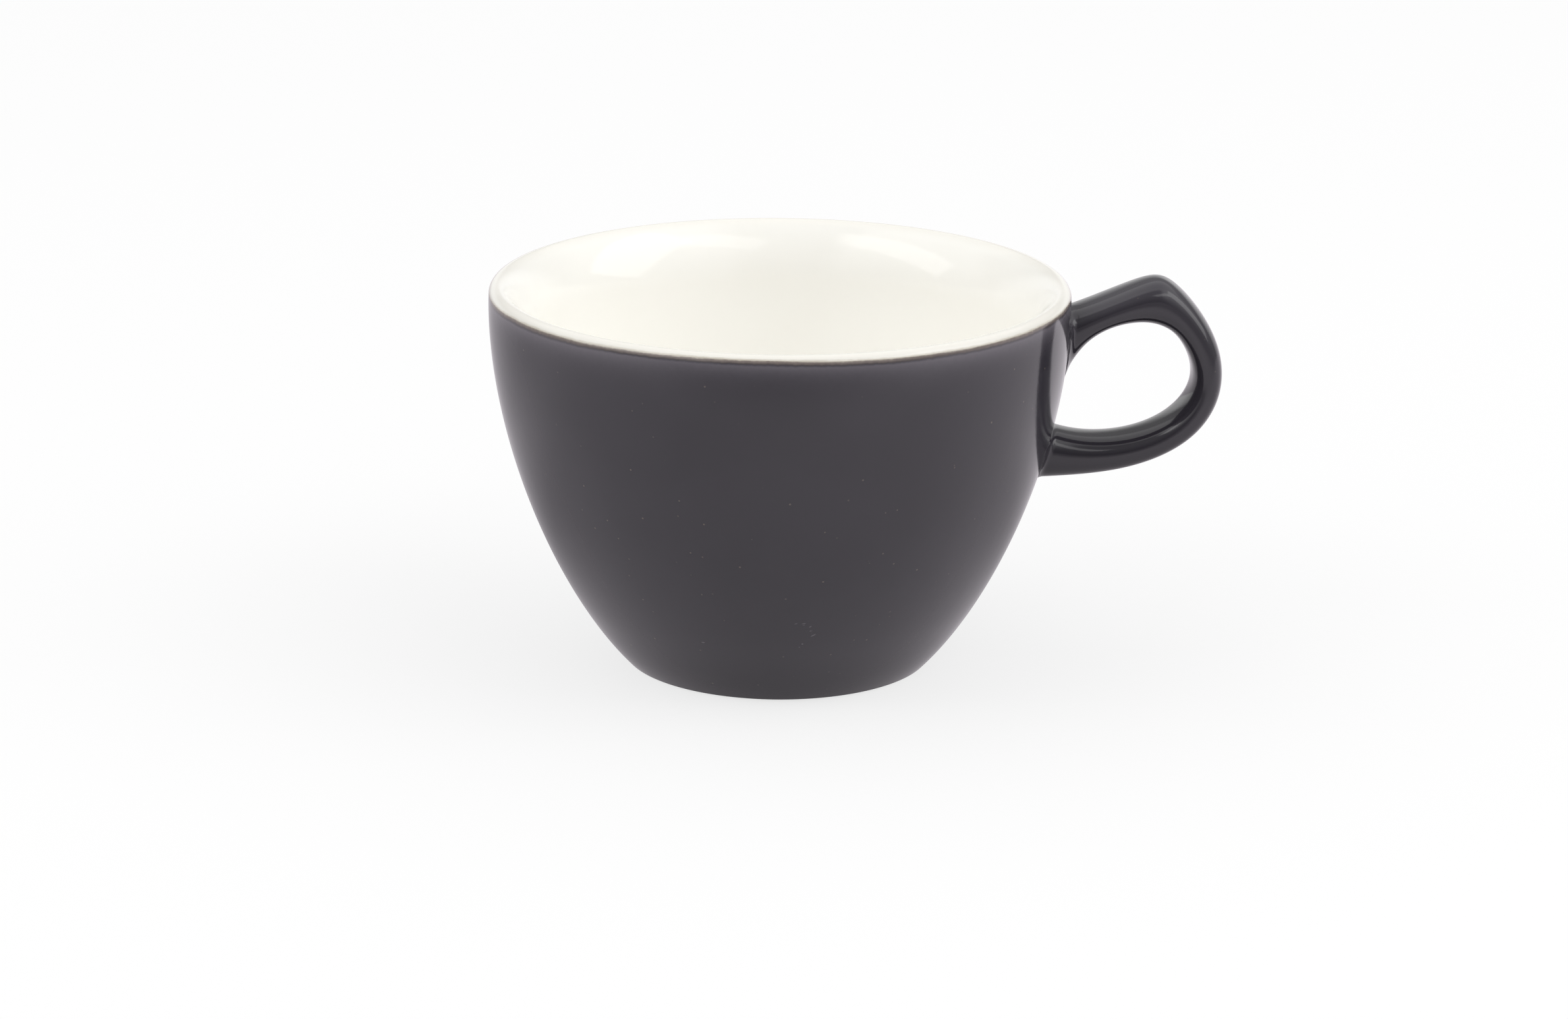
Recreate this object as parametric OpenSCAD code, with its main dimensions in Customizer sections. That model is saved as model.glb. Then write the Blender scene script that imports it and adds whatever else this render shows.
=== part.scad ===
// A glazed porcelain cappuccino cup with a loop handle.
// It stands on its foot ring at the origin, with its axis along Z and its handle along +X.

/* [Bowl] */
// Diameter across the rim
rim_d = 105; // [95:1:115]
// Height from the table to the rim
cup_h = 70.4; // [66:0.1:76]
// Diameter at which the outer wall would reach the table
foot_d = 55; // [50:1:60]
// Slope of the outer wall above the table, at the foot
foot_angle = 45; // [40:1:50]
// Lean of the outer wall at the rim: below zero it draws in
rim_angle = -2; // [-4:0.5:2]
// Share of the height that carries the foot's slope up the wall
foot_pull_share = 0.28; // [0.2:0.01:0.35]
// Share of the height that carries the rim's lean down the wall
rim_pull_share = 0.34; // [0.28:0.01:0.42]

/* [Wall] */
// Thickness of the wall below the lip, coats included
wall_t = 7; // [6:0.1:8]
// Thickness of the floor over the recess, coats included
floor_t = 7; // [6:0.1:8]
// Radius of the lip's outer edge
lip_r = 1.7; // [1.4:0.1:2]
// Depth below the rim at which the lip's inner slope meets the wall
lip_drop = 10.5; // [8:0.1:13]
// Turn round the lip's outer edge at which the two colours meet
border_angle = 25; // [15:5:70]

/* [Foot] */
// Width of the foot ring between the corners of its two sides
ring_w = 5; // [4.5:0.1:7]
// Height of the recess inside the foot ring
recess_h = 2; // [1.5:0.1:3]
// Slope of the recess's side above the table
recess_angle = 50; // [40:1:60]
// Height above the table at which the coats stop
bare_h = 0.6; // [0.4:0.1:0.8]

/* [Handle] */
// How far the handle stands out from the rim
handle_reach = 27.9; // [24:0.1:32]
// Height of the handle, from its lowest point to its peak
handle_h = 37.1; // [33:0.1:41]
// Height of the handle's peak above the rim
handle_rise = 0.9; // [-2:0.1:3]
// Width of the handle across the loop
handle_w = 12; // [9:0.5:15]
// Squareness of the handle's section, from an oval upwards
section_power = 2.6; // [2:0.1:3.5]
// Radius of the fillet at the handle's two roots
root_fillet = 1.2; // [0.8:0.1:1.6]

/* [Coats] */
// Thickness of the glaze
glaze_t = 0.3; // [0.2:0.05:0.5]
// Thickness of the joining slip
slip_t = 0.5; // [0.4:0.1:0.8]

/* [Hidden] */

// Smoothness: steps along each curve, sides of the handle, halvings in a search
turn_steps = 96;
wall_steps = 28;
lip_steps = 12;
bowl_steps = 14;
arc_steps = 6;
root_steps = 10;
loop_steps = 28;
handle_sides = 24;
search_steps = 24;

rim_r = rim_d / 2;
foot_r = foot_d / 2;

// The outer wall, from the table to the lip
wall_top = [rim_r - lip_r * (1 - cos(rim_angle)), cup_h - lip_r * (1 + sin(rim_angle))];
wall_curve = [
    [foot_r, 0],
    [foot_r, 0] + foot_pull_share * cup_h * [cos(foot_angle), sin(foot_angle)],
    wall_top - rim_pull_share * cup_h * [sin(rim_angle), cos(rim_angle)],
    wall_top
];

// The lip: a round outer edge, and a slope from its crest down to the inner wall
lip_crest_share = 1;
lip_slope_share = 0.47;
lip_centre = wall_top + lip_r * [-cos(rim_angle), sin(rim_angle)];
lip_crest = [lip_centre[0], cup_h];
lip_stop = curve_place(wall_curve, cup_h - lip_drop, wall_t, 0, 1);
lip_foot = beside(wall_curve, lip_stop, wall_t);
lip_curve = [
    lip_crest,
    lip_crest - [lip_crest_share * lip_r, 0],
    lip_foot + lip_slope_share * lip_drop * cubic_dir(wall_curve, lip_stop),
    lip_foot
];

// The bowl's bottom, from low on the inner wall to the middle of the floor
bowl_top_share = 0.34;
bowl_side_share = 0.6;
bowl_flat_share = 0.68;
floor_z = recess_h + floor_t;
bowl_top = beside(wall_curve, bowl_top_share, wall_t);
bowl_drop = bowl_top[1] - floor_z;
bowl_curve = [
    bowl_top,
    bowl_top - bowl_side_share * bowl_drop * cubic_dir(wall_curve, bowl_top_share),
    [bowl_flat_share * bowl_top[0], floor_z],
    [0, floor_z]
];

// The recess under the foot, from its middle to the foot ring
recess_flat_share = 0.8;
recess_r = foot_r - ring_w;
recess_curve = [
    [0, recess_h],
    [recess_flat_share * recess_r, recess_h],
    [recess_r, 0] + recess_h * [-cos(recess_angle), sin(recess_angle)],
    [recess_r, 0]
];

// Where the coats stop above the table, outside the foot ring and inside it
wall_stop = curve_place(wall_curve, bare_h, 0, 0, 1);
recess_stop = curve_place(recess_curve, bare_h, 0, 1, 0);

// The handle's two outlines, seen from the side, from the upper root over the peak to the lower root
// Each guide point is a share of the reach out from the wall beside it, and of the height up from the peak
outer_shares = [
    [-0.91, -0.25], [-0.51, -0.22], [-0.07, -0.19], [0.50, 0.01], [0.66, 0.01], [0.97, -0.26],
    [1.09, -0.55], [0.98, -0.82], [0.56, -0.98], [-0.10, -1.00], [-0.85, -1.04]
];
inner_shares = [
    [-0.12, -1.01], [-0.05, -0.64], [0.09, -0.27], [0.43, -0.20], [0.62, -0.23], [0.74, -0.30],
    [0.90, -0.51], [0.78, -0.71], [0.42, -0.81], [-0.10, -0.76], [-0.84, -0.36]
];
// Share of the root fillet that also lifts the top and the underside
root_lift_share = 0.25;
outer_outline = with_ends(handle_points(outer_shares));
inner_outline = with_ends(handle_points(inner_shares));

// Shares of the outlines, counted in guide points, at which the upper root ends and the lower one begins
upper_root_share = 0.26;
lower_root_share = 0.8;
last_place = len(outer_shares) - 1;
upper_place = upper_root_share * last_place;
lower_place = lower_root_share * last_place;
last_ring = 2 * root_steps + loop_steps;
// How far the rings of a root draw together towards the wall
root_crowding_power = 1.6;
// Depth under the wall's clay at which a root that is to be cut ends
root_overrun = 1;

// Curves: clay always lies to the left of a curve's direction
function mix(a, b, t) = a + (b - a) * t;
function unit(v) = v / norm(v);
function left_of(d) = [-d[1], d[0]];
function cubic(p, t) =
    (1 - t)^3 * p[0] + 3 * (1 - t)^2 * t * p[1] + 3 * (1 - t) * t^2 * p[2] + t^3 * p[3];
function cubic_dir(p, t) =
    unit((1 - t)^2 * (p[1] - p[0]) + 2 * (1 - t) * t * (p[2] - p[1]) + t^2 * (p[3] - p[2]));
function beside(p, t, gap) = cubic(p, t) + gap * left_of(cubic_dir(p, t));
function run(p, gap, from, to, steps) =
    [for (i = [0:steps]) beside(p, mix(from, to, i / steps), gap)];
function arc(centre, r, from, to) =
    [for (i = [0:arc_steps]) let (a = mix(from, to, i / arc_steps)) centre + r * [cos(a), sin(a)]];
function tail(list) = [for (i = [1:len(list) - 1]) list[i]];
function reversed(list) = [for (i = [len(list) - 1:-1:0]) list[i]];

// The place along a curve that is at a height, searched between its low and its high end
function curve_place(p, height, gap, low, high, n = search_steps) =
    let (middle = (low + high) / 2)
    n == 0 ? middle :
    beside(p, middle, gap)[1] < height ? curve_place(p, height, gap, middle, high, n - 1) :
    curve_place(p, height, gap, low, middle, n - 1);

// Lines of the section at a depth under the finished surface
function wall_line(depth) = run(wall_curve, depth, wall_stop, 1, wall_steps);
function lip_outer_line(depth, from, to) = arc(lip_centre, lip_r - depth, from, to);
function lip_slope_line(depth) = run(lip_curve, depth, 0, 1, lip_steps);
function inner_line(depth) = concat(
    run(wall_curve, wall_t - depth, lip_stop, bowl_top_share, wall_steps),
    tail(run(bowl_curve, depth, 0, 1, bowl_steps))
);
function recess_line(depth) = run(recess_curve, depth, 0, recess_stop, bowl_steps);

function outside_line(depth) =
    concat(wall_line(depth), tail(lip_outer_line(depth, -rim_angle, border_angle)));
function inside_line(depth) = concat(
    lip_outer_line(depth, border_angle, 90), tail(lip_slope_line(depth)), tail(inner_line(depth))
);

// The rounding from the table up to a point, which leaves the table in a direction
function foot_rounding(end, dir) =
    let (
        reach = end[1] / dir[1],
        side = sign(dir[0]),
        turn = atan2(dir[1], abs(dir[0])),
        r = reach / tan(turn / 2),
        contact = end[0] - dir[0] * reach - side * reach
    )
    [for (i = [0:arc_steps]) let (a = turn * i / arc_steps)
        [contact + side * r * sin(a), r * (1 - cos(a))]];

// The handle's outlines as smooth curves along lists of guide points
function wall_radius(height) = cubic(wall_curve, curve_place(wall_curve, height, 0, 0, 1))[0];
function handle_points(shares) = [
    for (s = shares)
        let (height = cup_h + handle_rise + s[1] * handle_h)
        [wall_radius(height) + s[0] * handle_reach, height]
];
function with_ends(p) =
    let (n = len(p)) concat([2 * p[0] - p[1]], p, [2 * p[n - 1] - p[n - 2]]);
function outline_point(e, u) =
    let (i = min(floor(u), len(e) - 4), f = u - i)
    ((1 - f)^3 * e[i] + (3 * f^3 - 6 * f^2 + 4) * e[i + 1]
        + (1 + 3 * f + 3 * f^2 - 3 * f^3) * e[i + 2] + f^3 * e[i + 3]) / 6;

// How far a point lies outside the wall at a depth, and how much the fillet adds there
function off_wall(p, depth) =
    let (t = curve_place(wall_curve, p[2], depth, 0, 1))
    (norm([p[0], p[1]]) - beside(wall_curve, t, depth)[0]) * cubic_dir(wall_curve, t)[1];
function fillet_at(off) =
    off >= root_fillet ? 0 :
    off <= 0 ? root_fillet :
    root_fillet * (1 - off / root_fillet)^2;

function round_share(x) = sign(x) * abs(x)^(2 / section_power);
function section_point(u, a, depth) =
    let (
        top = outline_point(outer_outline, u),
        under = outline_point(inner_outline, u),
        middle = (top + under) / 2,
        up = unit(top - under),
        lift = (norm(top - under) / 2 - depth) * round_share(cos(a)),
        side = (handle_w / 2 - depth) * round_share(sin(a)),
        p = [middle[0] + up[0] * lift, side, middle[1] + up[1] * lift],
        grow = fillet_at(off_wall(p, depth)),
        rise = grow * root_lift_share * cos(a)
    )
    p + [up[0] * rise, grow * sin(a), up[1] * rise];

// The place at which a line along the handle enters the wall at a depth
function root_place(a, depth, wall_depth, inside, outside, n = search_steps) =
    let (middle = (inside + outside) / 2)
    n == 0 ? middle :
    off_wall(section_point(middle, a, depth), wall_depth) < 0 ?
        root_place(a, depth, wall_depth, middle, outside, n - 1) :
        root_place(a, depth, wall_depth, inside, middle, n - 1);

// Rings of points round the handle, from the wall at the upper root to the wall at the lower one
function ring_angle(j) = 360 * j / handle_sides;
function rings(depth, wall_depth) =
    let (
        sides = [0:handle_sides - 1],
        upper = [for (j = sides)
            root_place(ring_angle(j), depth, wall_depth, 0, upper_place)],
        lower = [for (j = sides)
            root_place(ring_angle(j), depth, wall_depth, last_place, lower_place)]
    )
    concat(
        [for (i = [0:root_steps - 1]) let (share = (i / root_steps)^root_crowding_power)
            [for (j = sides) section_point(mix(upper[j], upper_place, share), ring_angle(j), depth)]],
        [for (i = [0:loop_steps - 1]) let (u = mix(upper_place, lower_place, i / loop_steps))
            [for (j = sides) section_point(u, ring_angle(j), depth)]],
        [for (i = [root_steps:-1:0]) let (share = (i / root_steps)^root_crowding_power)
            [for (j = sides) section_point(mix(lower[j], lower_place, share), ring_angle(j), depth)]]
    );

// Triangles between two rings, and across one, that start at the given places in a list of points
function band(a, b) = [
    for (j = [0:handle_sides - 1])
        let (k = (j + 1) % handle_sides)
        each [[a + j, a + k, b + k], [a + j, b + k, b + j]]
];
function bands(start, count, flip) = [
    for (i = [0:count - 1])
        let (here = start + i * handle_sides, next = here + handle_sides)
        each (flip ? band(next, here) : band(here, next))
];
function cap(start, flip) = [
    for (j = [0:handle_sides / 2 - 1])
        let (k = (handle_sides - j) % handle_sides, m = handle_sides - j - 1)
        for (t = [[j, j + 1, m], [j, m, k]])
            if (t[0] != t[1] && t[1] != t[2] && t[2] != t[0])
                start * [1, 1, 1] + (flip ? [t[0], t[2], t[1]] : t)
];

// A solid stretch of the handle between two of its rings, with its roots run into the clay
module handle_stretch(depth, from, to) {
    all_rings = rings(depth, glaze_t + root_overrun);
    count = to - from;
    polyhedron(
        points = [for (i = [from:to]) each all_rings[i]],
        faces = concat(
            bands(0, count, false), cap(0, true), cap(count * handle_sides, false)
        )
    );
}

// The coat on the handle, as a tube that ends on the wall's clay
module handle_tube() {
    size = (last_ring + 1) * handle_sides;
    last = size - handle_sides;
    polyhedron(
        points = concat(
            [for (r = rings(0, glaze_t)) each r],
            [for (r = rings(glaze_t, glaze_t)) each r]
        ),
        faces = concat(
            bands(0, last_ring, false), bands(size, last_ring, true),
            band(size, 0), band(last, size + last)
        )
    );
}

// A turned solid, whose section starts and ends on the side away from the handle
module turned(section) {
    rotate([0, 0, 180])
        rotate_extrude($fn = turn_steps)
            polygon(section);
}

// Everything inside the outer wall at a depth, with the cup filled in
module wall_fill(depth) {
    line = wall_line(depth);
    turned(concat([[0, line[0][1]]], line, [[0, line[len(line) - 1][1]]]));
}

module coat(outer_line, clay_line) {
    turned(concat(outer_line, reversed(clay_line)));
}

module slip_pad(from, to) {
    intersection() {
        handle_stretch(glaze_t, from, to);
        difference() {
            wall_fill(glaze_t - slip_t);
            wall_fill(glaze_t);
        }
    }
}

module body() {
    recess_end = beside(recess_curve, recess_stop, glaze_t);
    wall_start = beside(wall_curve, wall_stop, glaze_t);
    color("#ece8de")
        turned(concat(
            recess_line(glaze_t),
            tail(reversed(foot_rounding(recess_end, -cubic_dir(recess_curve, recess_stop)))),
            foot_rounding(wall_start, cubic_dir(wall_curve, wall_stop)),
            tail(outside_line(glaze_t)),
            tail(inside_line(glaze_t))
        ));
}

module inside_glaze() {
    color("#f8f5e8") coat(inside_line(0), inside_line(glaze_t));
}

module outside_glaze() {
    color("#49474c")
        difference() {
            coat(outside_line(0), outside_line(glaze_t));
            handle_stretch(0, 0, root_steps);
            handle_stretch(0, last_ring - root_steps, last_ring);
        }
}

module underside_glaze() {
    color("#f4f1e6") coat(recess_line(0), recess_line(glaze_t));
}

module handle() {
    color("#e4dfd3")
        difference() {
            handle_stretch(glaze_t, 0, last_ring);
            wall_fill(glaze_t - slip_t);
        }
}

module handle_glaze() {
    color("#3a383d") handle_tube();
}

module upper_slip_joint() {
    color("#cfc8b8") slip_pad(0, root_steps);
}

module lower_slip_joint() {
    color("#cfc8b8") slip_pad(last_ring - root_steps, last_ring);
}

body();
inside_glaze();
outside_glaze();
underside_glaze();
handle();
handle_glaze();
upper_slip_joint();
lower_slip_joint();
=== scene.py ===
import math

import bmesh
import bpy
import numpy as np
from mathutils import Matrix, Vector


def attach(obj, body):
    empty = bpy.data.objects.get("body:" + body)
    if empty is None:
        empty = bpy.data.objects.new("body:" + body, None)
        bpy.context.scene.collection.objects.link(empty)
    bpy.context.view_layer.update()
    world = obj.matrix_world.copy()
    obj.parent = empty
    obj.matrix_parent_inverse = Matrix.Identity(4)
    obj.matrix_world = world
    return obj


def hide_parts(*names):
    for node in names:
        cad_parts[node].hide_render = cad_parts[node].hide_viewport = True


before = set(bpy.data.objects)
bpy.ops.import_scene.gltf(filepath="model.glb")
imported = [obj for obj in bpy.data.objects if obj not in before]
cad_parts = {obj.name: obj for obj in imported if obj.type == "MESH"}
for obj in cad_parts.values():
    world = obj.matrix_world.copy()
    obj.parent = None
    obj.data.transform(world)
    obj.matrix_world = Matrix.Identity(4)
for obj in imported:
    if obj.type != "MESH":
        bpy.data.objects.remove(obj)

scene = bpy.context.scene
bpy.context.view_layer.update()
MM = 0.001

# The cup's sizes, in millimetres and radians, as in the part's source
rim_r, cup_h, foot_r = 52.5, 70.4, 27.5
foot_angle, rim_angle = math.radians(45), math.radians(-2)
foot_pull_share, rim_pull_share = 0.28, 0.34
wall_t, floor_t = 7.0, 7.0
lip_r, lip_drop, border_angle = 1.7, 10.5, math.radians(25)
ring_w, recess_h, recess_angle, bare_h = 5.0, 2.0, math.radians(50), 0.6
handle_reach, handle_h, handle_rise, handle_w = 27.9, 37.1, 0.9, 12.0
section_power, root_fillet, root_lift_share = 2.6, 1.2, 0.25
glaze_t = 0.3
lip_crest_share, lip_slope_share, bowl_top_share = 1.0, 0.47, 0.34
bowl_side_share, bowl_flat_share, recess_flat_share = 0.6, 0.68, 0.8
outer_shares = np.array([
    [-0.91, -0.25], [-0.51, -0.22], [-0.07, -0.19], [0.50, 0.01], [0.66, 0.01], [0.97, -0.26],
    [1.09, -0.55], [0.98, -0.82], [0.56, -0.98], [-0.10, -1.00], [-0.85, -1.04]])
inner_shares = np.array([
    [-0.12, -1.01], [-0.05, -0.64], [0.09, -0.27], [0.43, -0.20], [0.62, -0.23], [0.74, -0.30],
    [0.90, -0.51], [0.78, -0.71], [0.42, -0.81], [-0.10, -0.76], [-0.84, -0.36]])
upper_place, lower_place, last_place = 2.6, 8.0, 10.0

# Steps round the axis, along the curves of the section and along the handle
TURN, WALL, LIP, SLOPE, BOWL, RECESS, FOOT = 192, 72, 14, 32, 36, 28, 8
SIDES, ROOT, LOOP = 72, 36, 112
ROOT_CROWDING = 1.6
SEARCH_POINTS, SEARCH_ROUNDS = 4001, 40
SHARP_ANGLE = math.radians(35)
turn_angles = np.arange(TURN) * 2 * math.pi / TURN


# Curves of the section: clay lies to the left of each
def heading(angle):
    return np.array([math.cos(angle), math.sin(angle)])


def cubic(p, t):
    t = np.asarray(t, float)[..., None]
    return (1 - t)**3 * p[0] + 3 * (1 - t)**2 * t * p[1] + 3 * (1 - t) * t**2 * p[2] + t**3 * p[3]


def cubic_dir(p, t):
    t = np.asarray(t, float)[..., None]
    d = (1 - t)**2 * (p[1] - p[0]) + 2 * (1 - t) * t * (p[2] - p[1]) + t**2 * (p[3] - p[2])
    return d / np.linalg.norm(d, axis=-1, keepdims=True)


def beside(p, t, gap):
    d = cubic_dir(p, t)
    side = np.stack([-d[..., 1], d[..., 0]], -1)
    return cubic(p, t) + gap * side


def place_at(p, height, gap=0):
    t = np.linspace(0, 1, SEARCH_POINTS)
    z = beside(p, t, gap)[:, 1]
    order = np.argsort(z)
    return float(np.interp(height, z[order], t[order]))


def arc(centre, r, start, end, steps):
    a = np.linspace(start, end, steps + 1)
    return np.stack([centre[0] + r * np.cos(a), centre[1] + r * np.sin(a)], -1)


wall_top = np.array([
    rim_r - lip_r * (1 - math.cos(rim_angle)), cup_h - lip_r * (1 + math.sin(rim_angle))])
foot = np.array([foot_r, 0.0])
wall_curve = np.array([
    foot, foot + foot_pull_share * cup_h * heading(foot_angle),
    wall_top - rim_pull_share * cup_h * np.array([math.sin(rim_angle), math.cos(rim_angle)]), wall_top])
lip_centre = wall_top + lip_r * np.array([-math.cos(rim_angle), math.sin(rim_angle)])
lip_crest = np.array([lip_centre[0], cup_h])
lip_stop = place_at(wall_curve, cup_h - lip_drop, wall_t)
lip_foot = beside(wall_curve, lip_stop, wall_t)
lip_curve = np.array([
    lip_crest, lip_crest - np.array([lip_crest_share * lip_r, 0]),
    lip_foot + lip_slope_share * lip_drop * cubic_dir(wall_curve, lip_stop), lip_foot])
floor_z = recess_h + floor_t
bowl_top = beside(wall_curve, bowl_top_share, wall_t)
bowl_side = bowl_side_share * (bowl_top[1] - floor_z) * cubic_dir(wall_curve, bowl_top_share)
bowl_curve = np.array([
    bowl_top, bowl_top - bowl_side, [bowl_flat_share * bowl_top[0], floor_z], [0, floor_z]])
recess_r = foot_r - ring_w
recess_curve = np.array([
    [0, recess_h], [recess_flat_share * recess_r, recess_h],
    [recess_r - recess_h * math.cos(recess_angle), recess_h * math.sin(recess_angle)], [recess_r, 0]])
wall_stop, recess_stop = place_at(wall_curve, bare_h), place_at(recess_curve, bare_h)


def wall_line(depth):
    return beside(wall_curve, np.linspace(wall_stop, 1, WALL + 1), depth)


def inner_line(depth):
    return np.concatenate([
        beside(lip_curve, np.linspace(0, 1, SLOPE + 1)[1:], depth),
        beside(wall_curve, np.linspace(lip_stop, bowl_top_share, WALL + 1)[1:], wall_t - depth),
        beside(bowl_curve, np.linspace(0, 1, BOWL + 1)[1:], depth)])


def recess_line(depth):
    return beside(recess_curve, np.linspace(0, recess_stop, RECESS + 1), depth)


def outside_line(depth, border):
    lip = arc(lip_centre, lip_r - depth, -rim_angle, border, LIP)
    return np.concatenate([wall_line(depth), lip[1:]])


def inside_line(depth, border):
    lip = arc(lip_centre, lip_r - depth, border, math.pi / 2, LIP)
    return np.concatenate([lip, inner_line(depth)])


def foot_rounding(end, direction):
    """An arc from the table to the end of a coat, that leaves in the coat's direction."""
    reach = end[1] / direction[1]
    side = math.copysign(1, direction[0])
    turn = math.atan2(direction[1], abs(direction[0]))
    r = reach / math.tan(turn / 2)
    a = np.linspace(0, turn, FOOT + 1)
    contact = end[0] - direction[0] * reach - side * reach
    return np.stack([contact + side * r * np.sin(a), r * (1 - np.cos(a))], -1)


def border_at(a):
    """The angle on the lip where the two glazes meet, which wavers a little round the cup."""
    wave = sum(
        size * np.sin(count * a + start)
        for size, count, start in ((0.8, 5, 2.1), (0.6, 11, 0.3), (0.5, 23, 1.2), (0.4, 41, 0)))
    degrees = 1.3 * wave - 3
    for rise, place, width in ((16, 255, 24), (-6, 190, 12)):
        degrees = degrees + rise * np.exp(-((np.degrees(a) - place) / width)**2)
    return border_angle + np.radians(degrees)


# Meshes
def make_piece(name, points, faces):
    mesh = bpy.data.meshes.new(name)
    mesh.from_pydata([tuple(p) for p in np.asarray(points) * MM], [], faces)
    b = bmesh.new()
    b.from_mesh(mesh)
    bmesh.ops.recalc_face_normals(b, faces=b.faces)
    b.to_mesh(mesh)
    b.free()
    mesh.shade_smooth()
    mesh.set_sharp_from_angle(angle=SHARP_ANGLE)
    piece = bpy.data.objects.new(name, mesh)
    scene.collection.objects.link(piece)
    return piece


def band(a, b, count):
    """Faces between two rings of points, that start at points a and b."""
    j = np.arange(count)
    k = (j + 1) % count
    return np.stack([a + j, a + k, b + k, b + j], -1).tolist()


def spin(lines):
    """Points of a section line, or of one line per step of the turn, set round the axis."""
    lines = np.asarray(lines)
    if lines.ndim == 2:
        lines = np.repeat(lines[:, None], TURN, 1)
    r, z = lines[..., 0], lines[..., 1]
    return np.stack([r * np.cos(turn_angles), r * np.sin(turn_angles), z], -1)


def turned(name, lines, edge=None):
    """A solid of revolution. A line that starts and ends on the axis has poles, any other closes
    on itself. It keeps, where given, each point's distance along the section from the line
    between the two colours."""
    rings = spin(lines)
    poles = np.abs(rings[0, :, :2]).max() < 1e-6
    ends = np.array([rings[0, 0], rings[-1, 0]]) if poles else np.empty((0, 3))
    if poles:
        rings = rings[1:-1]
    count = len(rings)
    faces = []
    for i in range(count - 1 if poles else count):
        faces += band(i * TURN, (i + 1) % count * TURN, TURN)
    if poles:
        for end, ring in ((count * TURN, 0), (count * TURN + 1, (count - 1) * TURN)):
            faces += [[end, ring + j, ring + (j + 1) % TURN] for j in range(TURN)]
    piece = make_piece(name, np.concatenate([rings.reshape(-1, 3), ends]), faces)
    if edge is not None:
        values = np.concatenate([edge[1:-1].ravel(), edge[[0, -1], 0]]) if poles else edge.ravel()
        distances = piece.data.attributes.new("edge_mm", "FLOAT", "POINT").data
        distances.foreach_set("value", values.astype(np.float32))
    return piece


borders = border_at(turn_angles)


def over_turn(line, depth):
    return np.stack([line(depth, b) for b in borders], 1)


def border_gap(rows, border_row):
    steps = np.linalg.norm(np.diff(rows, axis=0), axis=-1)
    along = np.concatenate([np.zeros((1, TURN)), np.cumsum(steps, 0)])
    return np.abs(along - along[border_row])


recess_end = beside(recess_curve, recess_stop, glaze_t)
wall_start = beside(wall_curve, wall_stop, glaze_t)
clay = np.concatenate([
    recess_line(glaze_t),
    foot_rounding(recess_end, -cubic_dir(recess_curve, recess_stop))[::-1][1:],
    foot_rounding(wall_start, cubic_dir(wall_curve, wall_stop)),
    outside_line(glaze_t, border_angle)[1:], inside_line(glaze_t, border_angle)[1:]])
cup_body = turned("cup_body", clay)
inside_rows, outside_rows = over_turn(inside_line, 0), over_turn(outside_line, 0)
inside_gap, outside_gap = border_gap(inside_rows, 0), border_gap(outside_rows, -1)
cream_lining = turned(
    "cream_lining", np.concatenate([over_turn(inside_line, glaze_t)[::-1], inside_rows]),
    np.concatenate([inside_gap[::-1], inside_gap]))
charcoal_wall = turned(
    "charcoal_wall", np.concatenate([outside_rows, over_turn(outside_line, glaze_t)[::-1]]),
    np.concatenate([outside_gap, outside_gap[::-1]]))
underside_lining = turned(
    "underside_lining", np.concatenate([recess_line(0), recess_line(glaze_t)[::-1]]))


# The loop handle: sections between two outlines, whose roots end on the clay of the wall
def wall_table(depth):
    t = np.linspace(0, 1, SEARCH_POINTS)
    return beside(wall_curve, t, depth), cubic_dir(wall_curve, t)


wall_tables = {depth: wall_table(depth) for depth in (0, glaze_t)}


def off_wall(p, depth):
    line, way = wall_tables[depth]
    radius = np.interp(p[..., 2], line[:, 1], line[:, 0])
    return (np.hypot(p[..., 0], p[..., 1]) - radius) * np.interp(p[..., 2], line[:, 1], way[:, 1])


def guide_points(shares):
    line = wall_tables[0][0]
    z = cup_h + handle_rise + shares[:, 1] * handle_h
    p = np.stack([np.interp(z, line[:, 1], line[:, 0]) + shares[:, 0] * handle_reach, z], -1)
    return np.concatenate([[2 * p[0] - p[1]], p, [2 * p[-1] - p[-2]]])


def outline_point(e, u):
    """A point of the uniform cubic B-spline with the guide points e."""
    i = np.minimum(np.floor(u).astype(int), len(e) - 4)
    f = (u - i)[..., None]
    return ((1 - f)**3 * e[i] + (3 * f**3 - 6 * f**2 + 4) * e[i + 1]
            + (1 + 3 * f + 3 * f**2 - 3 * f**3) * e[i + 2] + f**3 * e[i + 3]) / 6


outer_outline, inner_outline = guide_points(outer_shares), guide_points(inner_shares)


def squared(x):
    return np.sign(x) * np.abs(x)**(2 / section_power)


def section_point(u, a, depth):
    top, under = outline_point(outer_outline, u), outline_point(inner_outline, u)
    thick = np.linalg.norm(top - under, axis=-1)
    up = (top - under) / thick[..., None]
    lift = (thick / 2 - depth) * squared(np.cos(a))
    middle = (top + under) / 2 + up * lift[..., None]
    p = np.stack([middle[..., 0], (handle_w / 2 - depth) * squared(np.sin(a)), middle[..., 1]], -1)
    near = np.clip(off_wall(p, depth) / root_fillet, 0, 1)
    grow = root_fillet * (1 - near)**2
    rise = grow * root_lift_share * np.cos(a)
    return p + np.stack([up[..., 0] * rise, grow * np.sin(a), up[..., 1] * rise], -1)


def root_place(a, depth, inside, outside):
    inside, outside = np.full(a.shape, inside), np.full(a.shape, outside)
    for _ in range(SEARCH_ROUNDS):
        middle = (inside + outside) / 2
        buried = off_wall(section_point(middle, a, depth), glaze_t) < 0
        inside, outside = np.where(buried, middle, inside), np.where(buried, outside, middle)
    return middle


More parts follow.
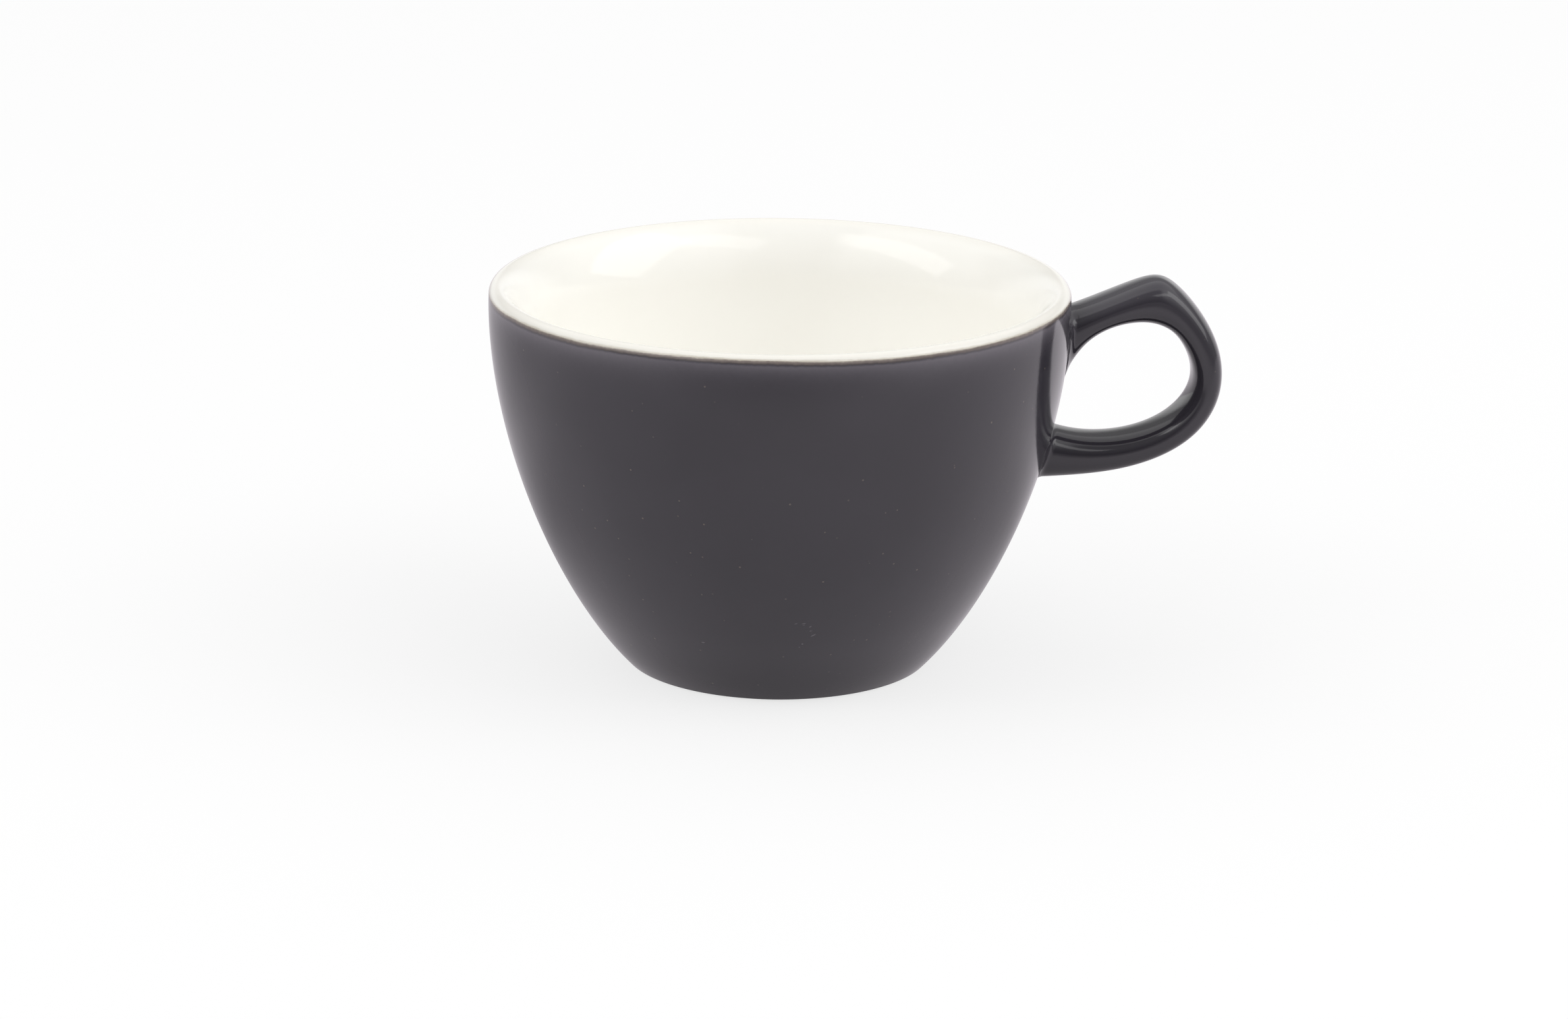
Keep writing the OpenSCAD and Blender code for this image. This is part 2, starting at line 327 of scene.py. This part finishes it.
def handle_rings(depth):
    a = np.arange(SIDES) * 2 * math.pi / SIDES
    crowd = (np.arange(ROOT + 1) / ROOT)[:, None]**ROOT_CROWDING
    upper = root_place(a, depth, 0.0, upper_place)
    lower = root_place(a, depth, last_place, lower_place)
    loop = np.linspace(upper_place, lower_place, LOOP + 1)[1:-1, None] * np.ones(SIDES)
    u = np.concatenate([
        upper + (upper_place - upper) * crowd, loop, (lower + (lower_place - lower) * crowd)[::-1]])
    return section_point(u, np.broadcast_to(a, u.shape), depth)


outer_rings, inner_rings = handle_rings(0), handle_rings(glaze_t)
ring_count = len(outer_rings)
coat_faces = []
for i in range(ring_count - 1):
    coat_faces += band(i * SIDES, (i + 1) * SIDES, SIDES)
    coat_faces += band((ring_count + i + 1) * SIDES, (ring_count + i) * SIDES, SIDES)
coat_faces += band(ring_count * SIDES, 0, SIDES)
coat_faces += band((ring_count - 1) * SIDES, (2 * ring_count - 1) * SIDES, SIDES)
coat_points = np.concatenate([outer_rings, inner_rings]).reshape(-1, 3)
handle_coat = make_piece("handle_coat", coat_points, coat_faces)

for piece, node, slot in (
        (cup_body, "body", "porcelain"), (cream_lining, "inside_glaze", "cream_glaze"),
        (charcoal_wall, "outside_glaze", "charcoal_glaze"),
        (underside_lining, "underside_glaze", "cream_glaze"),
        (handle_coat, "handle_glaze", "charcoal_glaze")):
    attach(piece, "root")
    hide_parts(node)


# Materials, in object coordinates
class Nodes:
    """A node tree, and the nodes that are added to it in order."""

    def __init__(self, tree):
        self.tree = tree

    def add(self, kind, sockets=None, **settings):
        node = self.tree.nodes.new("ShaderNode" + kind)
        for key, value in settings.items():
            setattr(node, key, value)
        for key, value in (sockets or {}).items():
            if isinstance(value, bpy.types.NodeSocket):
                self.tree.links.new(value, node.inputs[key])
            else:
                node.inputs[key].default_value = value
        return node

    def parts(self, vector):
        return self.add("SeparateXYZ", {"Vector": vector}).outputs

    def length(self, vector):
        return self.add("VectorMath", {0: vector}, operation="LENGTH").outputs["Value"]

    def calc(self, operation, first, second):
        return self.add("Math", {0: first, 1: second}, operation=operation).outputs[0]

    def product(self, first, *others):
        for factor in others:
            first = self.calc("MULTIPLY", first, factor)
        return first

    def spread(self, value, low, high, to_low=0.0, to_high=1.0):
        node = self.add("MapRange", {
            "Value": value, "From Min": low, "From Max": high, "To Min": to_low, "To Max": to_high},
            interpolation_type="SMOOTHSTEP")
        return node.outputs["Result"]


class Glaze(Nodes):
    """A material: its shader's plain values, and nodes added in order."""

    def __init__(self, name, **plain):
        self.material = bpy.data.materials.new(name)
        self.material.use_nodes = True
        super().__init__(self.material.node_tree)
        self.shader = self.tree.nodes["Principled BSDF"]
        for key, value in plain.items():
            self.shader.inputs[key.replace("_", " ")].default_value = value
        self.place = self.add("TexCoord").outputs["Object"]

    def noise(self, scale, detail):
        node = self.add("TexNoise", {
            "Vector": self.place, "Scale": scale, "Detail": detail, "Roughness": 0.5})
        return node.outputs["Fac"]

    def cloud(self, scale, detail, to_low=0.0, to_high=1.0):
        return self.spread(self.noise(scale, detail), 0.3, 0.7, to_low, to_high)

    def mix(self, share, first, second):
        first, second = (
            c if isinstance(c, bpy.types.NodeSocket) else (*c, 1) for c in (first, second))
        return self.add("Mix", {0: share, 6: first, 7: second}, data_type="RGBA").outputs[2]

    def bump(self, height, strength, before=None):
        sockets = {"Height": height, "Strength": strength, "Distance": MM}
        if before:
            sockets["Normal"] = before
        return self.add("Bump", sockets).outputs["Normal"]

    def edge(self, scale, width):
        """Millimetres from the line between the two colours: smooth, and made ragged."""
        border = self.add("Attribute", attribute_name="edge_mm").outputs["Fac"]
        stray = self.calc("SUBTRACT", self.noise(scale, 2), 0.5)
        return border, self.calc("ADD", border, self.calc("MULTIPLY", stray, width))

    def wear(self, **links):
        for key, value in links.items():
            self.tree.links.new(value, self.shader.inputs[key.replace("_", " ")])


CERAMIC_IOR = 1.5
CHARCOAL_LOW, CHARCOAL_HIGH = (0.0375, 0.0337, 0.0427), (0.0435, 0.0393, 0.0495)
SPECK, SCUFF = (0.17, 0.14, 0.12), (0.18, 0.165, 0.185)
THIN_CHARCOAL = (0.153, 0.140, 0.162)
BROWN_LINE, PALE_LINE = (0.225, 0.187, 0.172), (0.5, 0.455, 0.385)
CREAM_LOW, CREAM_HIGH = (0.960, 0.947, 0.898), (0.970, 0.958, 0.914)
LIP_PAINTED_SHADE, TAN_STAIN = (0.892, 0.870, 0.806), (0.60, 0.55, 0.46)
RUBBED_GREY = (0.42, 0.39, 0.35)
SCUFF_DEPTH, SCUFF_HALF_WIDTH = 0.6, 0.16
# Turn round the axis and slope in degrees, height and length in millimetres, and strength
SCUFFS = [
    {"turn": -87.8, "z": 19.0, "length": 0.8, "slope": 22, "strength": 0.5},
    {"turn": -85.8, "z": 19.0, "length": 0.9, "slope": 5, "strength": 0.8},
    {"turn": -85.8, "z": 18.65, "length": 0.6, "slope": 8, "strength": 0.6},
    {"turn": -84.1, "z": 18.25, "length": 0.7, "slope": 24, "strength": 0.8},
    {"turn": -83.8, "z": 17.3, "length": 0.8, "slope": 2, "strength": 0.6},
    {"turn": -83.1, "z": 16.3, "length": 1.3, "slope": 31, "strength": 1.0},
    {"turn": -85.7, "z": 14.4, "length": 0.5, "slope": 9, "strength": 0.9},
    {"turn": -86.4, "z": 13.7, "length": 0.4, "slope": 22, "strength": 0.5},
    {"turn": -112.7, "z": 13.7, "length": 1.0, "slope": 4, "strength": 0.9}]


def scuffs(g):
    """Short rub marks low on the front."""
    total = 0.0
    for mark in SCUFFS:
        r = float(cubic(wall_curve, place_at(wall_curve, mark["z"]))[0])
        a = math.radians(mark["turn"])
        near = g.add("Mapping", {
            "Vector": g.place,
            "Location": tuple(MM * v for v in (r * math.cos(a), r * math.sin(a), mark["z"])),
            "Rotation": (0, -math.radians(mark["slope"]), a + math.pi / 2),
            "Scale": (MM * mark["length"] / 2, MM * SCUFF_DEPTH, MM * SCUFF_HALF_WIDTH)},
            vector_type="TEXTURE")
        shape = g.spread(g.length(near.outputs[0]), 0.4, 1.0, mark["strength"], 0)
        total = g.calc("MAXIMUM", shape, total)
    return g.calc("MULTIPLY", total, g.spread(g.noise(2500, 2), 0.25, 0.6, 0.35, 1))


def charcoal_glaze(name, on_wall):
    """Dark glaze with a cloudy tone and sparse pale specks. On the wall it thins near the lip to
    a lighter band and a brown edge, and has rub marks."""
    g = Glaze(name, IOR=CERAMIC_IOR)
    colour = g.mix(g.cloud(38, 3), CHARCOAL_LOW, CHARCOAL_HIGH)
    cells = g.add("TexVoronoi", {"Vector": g.place, "Scale": 480}, feature="F1").outputs
    dot = g.spread(cells["Distance"], 0.05, 0.12, 1, 0)
    chance = g.add("SeparateColor", {"Color": cells["Color"]}).outputs[0]
    colour = g.mix(g.calc("MULTIPLY", dot, g.spread(chance, 0.62, 1.0, 0, 0.8)), colour, SPECK)
    if on_wall:
        _, ragged = g.edge(900, 0.35)
        below = g.calc("MAXIMUM", g.calc("SUBTRACT", ragged, 1.2), 0)
        thin = g.calc("EXPONENT", g.calc("MULTIPLY", below, -0.6), 0)
        thin = g.calc("MULTIPLY", thin, g.spread(ragged, 0.5, 1.15))
        colour = g.mix(thin, colour, THIN_CHARCOAL)
        colour = g.mix(g.spread(ragged, 0.2, 0.9, 1, 0), colour, BROWN_LINE)
        colour = g.mix(g.spread(ragged, -0.05, 0.25, 1, 0), colour, PALE_LINE)
        colour = g.mix(scuffs(g), colour, SCUFF)
    peel = g.bump(g.noise(230, 1), 0.018)
    g.wear(
        Base_Color=colour, Roughness=g.cloud(70, 4, 0.075, 0.125),
        Normal=g.bump(g.noise(1400, 2), 0.006, peel))
    return g.material


def cream_glaze(name, on_lip):
    """Pale glaze with a faint cloudy tone. On the lip it carries painted shade, darker within about 2
    mm of the dark border and fading out by 4.5 mm, and takes a tan stain close to that border."""
    g = Glaze(name, IOR=CERAMIC_IOR)
    colour = g.mix(g.cloud(30, 3), CREAM_LOW, CREAM_HIGH)
    if on_lip:
        border, ragged = g.edge(700, 0.3)
        # Painted shade: the lip is darker towards the dark border
        colour = g.mix(g.spread(border, 1.8, 4.5, 1, 0), colour, LIP_PAINTED_SHADE)
        colour = g.mix(g.spread(ragged, 0.0, 0.45, 0.8, 0), colour, TAN_STAIN)
    peel = g.bump(g.noise(200, 1), 0.016)
    g.wear(
        Base_Color=colour, Roughness=g.cloud(60, 4, 0.07, 0.12),
        Normal=g.bump(g.noise(1200, 2), 0.005, peel))
    return g.material


def bare_clay(name, pale, dull, grain):
    """Unglazed fired clay: matt, grainy, and rubbed grey close to the table."""
    g = Glaze(name, IOR=CERAMIC_IOR)
    colour = g.mix(g.cloud(120, 4), dull, pale)
    low = g.spread(g.parts(g.place)["Z"], 0.0, 0.0005, 1, 0)
    rubbed = g.product(low, g.spread(g.noise(900, 4), 0.3, 0.75), 0.3)
    g.wear(
        Base_Color=g.mix(rubbed, colour, RUBBED_GREY), Roughness=g.cloud(300, 3, 0.55, 0.75),
        Normal=g.bump(g.noise(grain, 4), 0.12))
    return g.material


charcoal_wall.data.materials.append(charcoal_glaze("charcoal_wall", True))
handle_coat.data.materials.append(charcoal_glaze("charcoal_handle", False))
cream_lining.data.materials.append(cream_glaze("cream_lining", True))
underside_lining.data.materials.append(cream_glaze("cream_underside", False))
porcelain = bare_clay("porcelain", (0.80, 0.77, 0.70), (0.74, 0.71, 0.63), 2600)
slip = bare_clay("joining_slip", (0.74, 0.70, 0.62), (0.64, 0.60, 0.52), 1500)
cup_body.data.materials.append(porcelain)
for node, material in (("handle", porcelain), ("upper_slip_joint", slip), ("lower_slip_joint", slip)):
    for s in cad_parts[node].material_slots:
        s.material = material


# A white table, which throws a greyer light on the cup. Its mirror image in the glaze is a little lilac
# and carries painted light and shade: painted light that is bright near the cup, fades out in front and
# is lighter to the right, a painted shadow of the cup close behind it and further back, and a painted
# contact shadow round the foot
TABLE_HALF = 4
TABLE_GREY, TABLE_LILAC = (0.44, 0.44, 0.44), (1.0, 0.945, 1.0)
BLACK, WHITE = (0, 0, 0), (1, 1, 1)
floor_mesh = bpy.data.meshes.new("floor")
corners = [(-1, -1), (1, -1), (1, 1), (-1, 1)]
floor_mesh.from_pydata([(TABLE_HALF * x, TABLE_HALF * y, 0) for x, y in corners], [], [(0, 1, 2, 3)])
floor = bpy.data.objects.new("floor", floor_mesh)
scene.collection.objects.link(floor)
table = Glaze("table", Roughness=0.9, Specular_IOR_Level=0.0)
ray = table.add("LightPath").outputs
seen = ray["Is Camera Ray"]
mirrored = table.calc("MAXIMUM", ray["Is Glossy Ray"], ray["Is Transmission Ray"])
spot = table.parts(table.place)
away = table.length(table.place)
# Painted shadow of the cup on the table close behind it, seen only in reflections
painted_shadow_behind_cup = table.product(table.spread(away, 0.07, 0.14, 0.33, 0), table.spread(spot["Y"], -0.03, 0.03))
# Painted light and shade of the table, seen only in reflections: fades out in front, darker to the
# left, the painted shadow behind the cup, a painted contact shadow round the foot, darker further
# behind
painted_table_light = table.product(
    table.spread(spot["Y"], -0.36, -0.15, 0.36, 1), table.spread(spot["X"], -0.15, 0.15, 0.88, 1),
    table.calc("SUBTRACT", 1, painted_shadow_behind_cup), table.spread(away, 0.028, 0.040, 0.74, 1),
    table.spread(spot["Y"], 0, 0.12, 1, table.spread(spot["X"], -0.1, 0.1, 0.78, 0.9)))
painted_table_light = table.calc("MAXIMUM", painted_table_light, seen)
white = table.mix(seen, TABLE_LILAC, WHITE)
bounced = table.mix(table.calc("MULTIPLY", painted_table_light, 0.9), BLACK, white)
table.wear(Base_Color=table.mix(table.calc("MAXIMUM", seen, mirrored), TABLE_GREY, bounced))
# In reflections the glow's share is larger near the cup: painted light there
glow_share = table.calc(
    "MAXIMUM", table.calc("MULTIPLY", seen, 0.75),
    table.calc("MULTIPLY", mirrored, table.spread(away, 0.045, 0.08, 0.7, 0.5)))
glow = table.add("Emission", {"Color": white, "Strength": painted_table_light}).outputs[0]
blend = table.add("MixShader", {0: glow_share, 1: table.shader.outputs[0], 2: glow})
table.tree.links.new(blend.outputs[0], table.tree.nodes["Material Output"].inputs["Surface"])
floor_mesh.materials.append(table.material)

# A pale room, brighter at the sides, dark in front and dim low at the back, with a bright strip
# along the horizon behind
world = bpy.data.worlds.new("studio")
scene.world = world
world.use_nodes = True
room = Nodes(world.node_tree)
background = room.tree.nodes["Background"]
background.inputs["Color"].default_value = (*WHITE, 1)
way = room.parts(room.add("TexCoord").outputs["Generated"])
front = room.product(
    room.spread(way["Y"], -0.35, 0.05, 1, 0),
    room.spread(way["X"], -0.55, -0.35, 0, 1), room.spread(way["X"], 0.15, 0.4, 1, 0))
level = room.product(
    room.spread(way["Z"], 0.0, 0.8, 0.28, 1.12), room.spread(front, 0, 1, 1, 0.3),
    room.spread(way["X"], -0.9, 0.0, 1.6, 1), room.spread(way["X"], 0.1, 0.8, 1, 1.34),
    room.spread(way["Z"], 0.4, 0.75, 1, room.spread(way["Y"], -0.5, 0.6, 1.1, 0.72)),
    room.spread(way["Y"], 0.2, 0.4, 1, room.spread(way["Z"], 0.5, 0.6, 0.5, 1)))
strip = room.product(room.spread(way["Y"], 0.2, 0.7, 0, 0.95), room.spread(way["Z"], 0.15, 0.4, 1, 0))
for other in (strip, room.add("LightPath").outputs["Is Camera Ray"]):
    level = room.calc("MAXIMUM", level, other)
room.tree.links.new(level, background.inputs["Strength"])

# Three softboxes
LAMP_DISTANCE = 1.5
LAMP_POWER = 4  # of an area lamp, per unit of area and radiance


def facing(azimuth, height):
    """A direction from the cup: azimuth 0 is towards the camera, and grows to the right."""
    a, h = math.radians(azimuth), math.radians(height)
    return Vector((math.cos(h) * math.sin(a), -math.cos(h) * math.cos(a), math.sin(h)))


def softbox(name, centre, towards, length, width, radiance):
    middle = facing(*centre)
    along = facing(*towards)
    along = (along / along.dot(middle) - middle).normalized()
    data = bpy.data.lights.new(name, "AREA")
    data.shape = "RECTANGLE"
    data.size, data.size_y = length, width
    data.energy = radiance * LAMP_POWER * length * width
    lamp = bpy.data.objects.new(name, data)
    scene.collection.objects.link(lamp)
    lamp.matrix_world = Matrix.Translation(middle * LAMP_DISTANCE) @ Matrix((
        along, middle.cross(along), middle)).transposed().to_4x4()
    lamp.visible_camera = False


softbox("softbox_right", (75, 34), (62, 56), 1.15, 0.86, 1.2)
softbox("softbox_front", (28, 46), (60, 46), 0.85, 0.36, 1.0)
softbox("softbox_left", (-66, 38), (-40, 49), 1.4, 0.45, 1.1)

scene.view_settings.view_transform = "Standard"

# The camera, fitted to the outlines in the photograph
PHOTO_WIDTH, FOCAL_PIXELS, SENSOR_WIDTH = 2380, 6623, 36
distance, elevation = 799.2 * MM, math.radians(16.96)
roll, turn = math.radians(0.53), math.radians(-2.5)
target = Vector((1.06, 0, 27.58)) * MM
forward = Vector((0, math.cos(elevation), -math.sin(elevation)))
right = Vector((1, 0, 0))
up = right.cross(forward)
axes = Matrix((
    math.cos(roll) * right + math.sin(roll) * up,
    -math.sin(roll) * right + math.cos(roll) * up,
    -forward)).transposed().to_4x4()
camera_data = bpy.data.cameras.new("camera")
camera_data.sensor_fit = "HORIZONTAL"
camera_data.sensor_width = SENSOR_WIDTH
camera_data.lens = FOCAL_PIXELS * SENSOR_WIDTH / PHOTO_WIDTH
camera_data.clip_start, camera_data.clip_end = 0.05, 20
camera = bpy.data.objects.new("camera", camera_data)
scene.collection.objects.link(camera)
camera.matrix_world = (
    Matrix.Rotation(turn, 4, "Z") @ Matrix.Translation(target - forward * distance) @ axes)
scene.camera = camera

bpy.context.view_layer.update()
